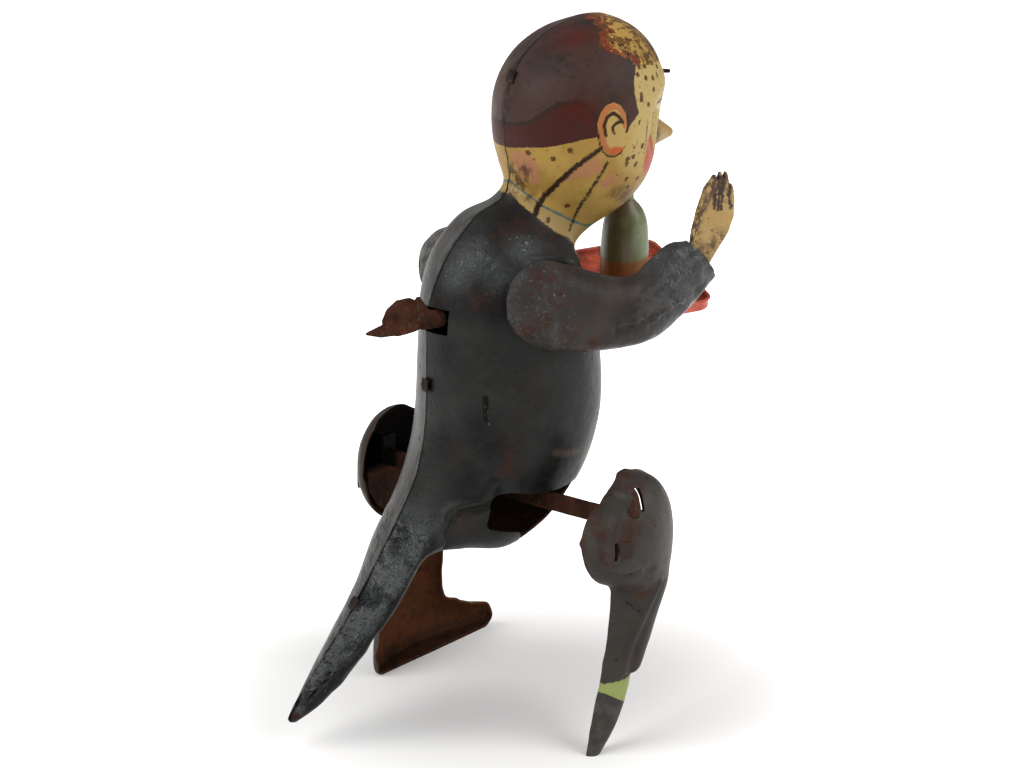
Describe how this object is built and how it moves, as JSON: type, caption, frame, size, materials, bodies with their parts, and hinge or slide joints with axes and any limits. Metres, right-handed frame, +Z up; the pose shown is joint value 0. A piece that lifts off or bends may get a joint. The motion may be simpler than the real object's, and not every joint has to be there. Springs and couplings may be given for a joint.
{
  "type": "wind up tin toy",
  "caption": "Wind up tin walking figure of a waiter in a tail coat, with a tray and bottle, a key in its back and legs that swing on a rocker driven by clockwork.",
  "frame": {"origin": "on the floor under the middle of the figure's outline", "axes": "+Z up, -Y the way the figure faces, -X its right hand side"},
  "size_m": [0.0935, 0.1152, 0.1726],
  "materials": {
    "coat": "worn lithographed tin, satin",
    "flesh": "worn flesh coloured enamel",
    "rusty_tin": "bare tin plate with brown rust",
    "red_enamel": "worn red enamel",
    "green_wood": "turned wood, painted green with an ochre foot",
    "bare_tin": "dull bare tin plate",
    "steel": "dull steel",
    "spring_steel": "blued spring steel",
    "brass": "aged brass"
  },
  "bodies": {
    "figure": {"body_shell_right": "coat", "body_shell_left": "coat", "seam_tabs": "coat", "nose_cone": "flesh", "movement_plate_rear": "bare_tin", "movement_plate_front": "bare_tin", "movement_pillars": "steel", "mainspring": "spring_steel", "pivot_bridge": "bare_tin", "pivot_pin": "steel", "pivot_washer": "steel"},
    "legs": {"rocker_lever": "rusty_tin", "hip_crossbar": "rusty_tin", "crossbar_rivets": "steel", "right_leg_shell": "coat", "left_leg_shell": "coat"},
    "key": {"winding_key": "rusty_tin", "winding_arbor": "steel", "ratchet_wheel": "brass"},
    "great": {"great_wheel": "brass", "click": "steel", "click_rivet": "steel"},
    "second": {"second_arbor": "steel", "second_wheel": "brass"},
    "crank": {"crank_arbor": "steel", "crank_disc": "bare_tin", "crank_pin": "steel"},
    "right_arm": {"right_sleeve_outer": "coat", "right_sleeve_inner": "coat", "right_hand": "flesh", "right_shoulder_rivet": "steel"},
    "left_arm": {"left_sleeve_outer": "coat", "left_sleeve_inner": "coat", "left_hand": "flesh", "left_shoulder_rivet": "steel", "tray": "red_enamel", "bottle": "green_wood", "tray_rivet": "steel", "bottle_nail": "steel"}
  },
  "joints": [
    {"name": "leg_rocker", "type": "hinge", "parent": "figure", "child": "legs", "pos_m": [-0.0012, -0.00257, 0.0588], "axis": [0, 0, 1], "range_deg": [-45, 0]},
    {"name": "key_wind", "type": "hinge", "parent": "figure", "child": "key", "pos_m": [-0.0047, 0.01743, 0.104], "axis": [0, 1, 0], "continuous": true},
    {"name": "great_wheel_spin", "type": "hinge", "parent": "figure", "child": "great", "pos_m": [-0.0047, 0.00743, 0.104], "axis": [0, 1, 0], "continuous": true},
    {"name": "second_wheel_spin", "type": "hinge", "parent": "figure", "child": "second", "pos_m": [0.0003, -0.00257, 0.09392], "axis": [0, 1, 0], "continuous": true},
    {"name": "crank_spin", "type": "hinge", "parent": "figure", "child": "crank", "pos_m": [-0.0012, -0.00257, 0.08505], "axis": [0, 1, 0], "continuous": true},
    {"name": "right_shoulder", "type": "hinge", "parent": "figure", "child": "right_arm", "pos_m": [-0.0212, 0.00093, 0.1095], "axis": [1, 0, 0], "range_deg": [-25, 45]},
    {"name": "left_shoulder", "type": "hinge", "parent": "figure", "child": "left_arm", "pos_m": [0.0188, 0.00093, 0.1095], "axis": [1, 0, 0], "range_deg": [0, 16]}
  ],
  "couplings": [
    {"joint": "second_wheel_spin", "follows": "great_wheel_spin", "ratio": -4},
    {"joint": "crank_spin", "follows": "great_wheel_spin", "ratio": 12}
  ]
}
